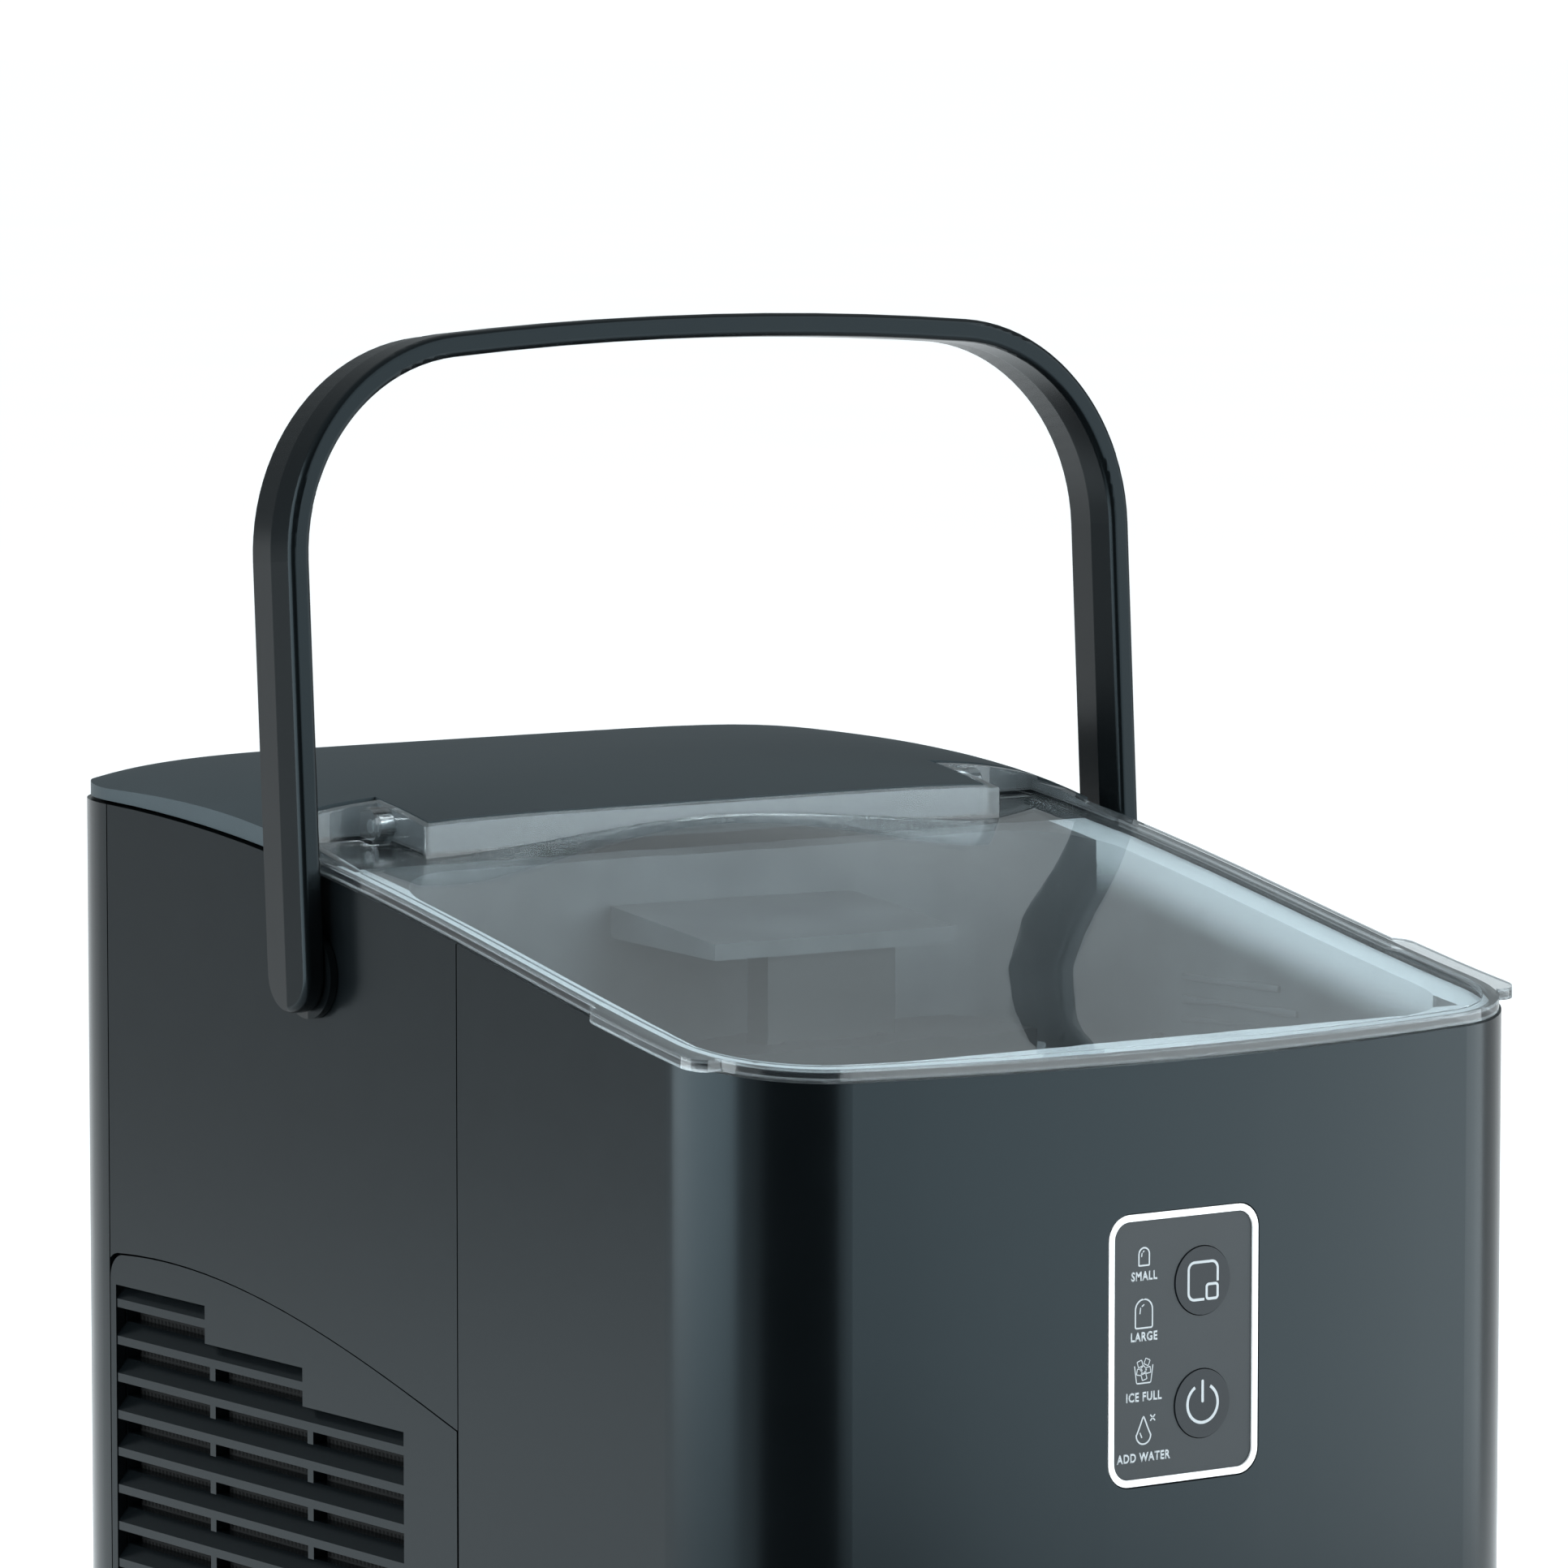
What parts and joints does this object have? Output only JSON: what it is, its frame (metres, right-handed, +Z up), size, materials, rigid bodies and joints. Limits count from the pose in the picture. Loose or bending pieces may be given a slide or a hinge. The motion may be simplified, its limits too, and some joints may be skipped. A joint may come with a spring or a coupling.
{
  "type": "ice maker",
  "caption": "Portable countertop bullet-ice maker: bowed dark cabinet, hinged clear lid, swinging carry handle, louvered sides and a two-button front panel.",
  "frame": {"origin": "centre of the footprint on the surface that it stands on", "axes": "+Z up, the control panel and the front face towards -Y, the carry handle's axle along X"},
  "size_m": [0.237, 0.297, 0.4063],
  "materials": {
    "base_plastic": "satin moulded",
    "casing": "satin dark grey",
    "cover": "fine matte texture",
    "clear_lid": "clear smoked plastic",
    "steel": "brushed",
    "handle": "satin near-black",
    "bushing": "natural",
    "liner": "light grey",
    "foam": "rigid foam",
    "nickel": "nickel plated",
    "tray_plastic": "light grey",
    "basket_plastic": "light grey",
    "black_plastic": "satin",
    "white_ring": "gloss white",
    "panel_face": "satin dark grey",
    "button": "satin",
    "board": "solder mask",
    "light_pipe": "clear",
    "black_steel": "enamelled",
    "rubber": "matt",
    "aluminium": "bare",
    "copper": "copper",
    "brass": "bare",
    "silicone": "translucent"
  },
  "bodies": {
    "cabinet": {"base_pan": "base_plastic", "front_shell": "casing", "rear_shell": "casing", "left_side_panel": "casing", "right_side_panel": "casing", "left_grille": "casing", "right_grille": "casing", "rear_cover": "cover", "lid_hinge_pins": "steel", "handle_bushing_left": "bushing", "handle_bushing_right": "bushing", "inner_liner": "liner", "foam_insulation": "foam", "ice_chute": "liner", "evaporator": "nickel", "evaporator_bridge": "liner", "tray_motor": "steel", "ice_full_sensors": "black_plastic", "water_level_sensor": "basket_plastic", "panel_ring": "white_ring", "control_panel": "panel_face", "control_board": "board", "indicator_lights": "light_pipe", "board_standoffs": "black_plastic", "compressor": "black_steel", "compressor_grommets": "rubber", "condenser": "aluminium", "fan_shroud": "black_plastic", "fan_motor": "steel", "fan_bracket": "steel", "filter_drier": "copper", "hot_gas_valve": "brass", "discharge_tube": "copper", "suction_tube": "copper", "water_pump": "black_plastic", "water_hose": "silicone", "drain_fitting": "liner", "main_board_plate": "steel", "main_board": "board", "cord_gland": "black_plastic", "base_screws": "steel", "foot_front_left": "rubber", "foot_front_right": "rubber", "foot_rear_left": "rubber", "foot_rear_right": "rubber"},
    "handle": {"carry_handle": "handle", "handle_pivot_left": "handle", "handle_pivot_right": "handle", "handle_clip_left": "steel", "handle_clip_right": "steel"},
    "lid": {"lid": "clear_lid"},
    "size_button": {"size_button": "button"},
    "power_button": {"power_button": "button"},
    "tray": {"water_tray": "tray_plastic", "tray_drive_shaft": "steel", "tray_idle_pin": "steel"},
    "pusher": {"ice_pusher": "tray_plastic"},
    "fan": {"condenser_fan": "black_plastic"},
    "basket": {"ice_basket": "basket_plastic"},
    "drain_plug": {"drain_plug": "rubber"}
  },
  "joints": [
    {"name": "handle_swing", "type": "hinge", "parent": "cabinet", "child": "handle", "pos_m": [0, 0.027, 0.2607], "axis": [-1, 0, 0], "range_deg": [0, 105]},
    {"name": "lid_hinge", "type": "hinge", "parent": "cabinet", "child": "lid", "pos_m": [0, 0.0435, 0.291], "axis": [-1, 0, 0], "range_deg": [0, 78]},
    {"name": "size_button_press", "type": "slide", "parent": "cabinet", "child": "size_button", "axis": [0, 1, 0], "range_m": [0, 0.001], "stiffness_N_per_m": 600},
    {"name": "power_button_press", "type": "slide", "parent": "cabinet", "child": "power_button", "axis": [0, 1, 0], "range_m": [0, 0.001], "stiffness_N_per_m": 600},
    {"name": "tray_tilt", "type": "hinge", "parent": "cabinet", "child": "tray", "pos_m": [0, -0.014, 0.228], "axis": [1, 0, 0], "range_deg": [0, 70]},
    {"name": "pusher_slide", "type": "slide", "parent": "cabinet", "child": "pusher", "axis": [0, -1, 0], "range_m": [0, 0.05]},
    {"name": "fan_spin", "type": "hinge", "parent": "cabinet", "child": "fan", "pos_m": [-0.074, 0.072, 0.088], "axis": [1, 0, 0], "continuous": true},
    {"name": "basket_lift", "type": "slide", "parent": "cabinet", "child": "basket", "axis": [0, 0, 1], "range_m": [0, 0.01]},
    {"name": "drain_pull", "type": "slide", "parent": "cabinet", "child": "drain_plug", "axis": [1, 0, 0], "range_m": [0, 0.014]}
  ],
  "couplings": [
    {"joint": "pusher_slide", "follows": "tray_tilt", "m_per_rad": 0.040885}
  ]
}
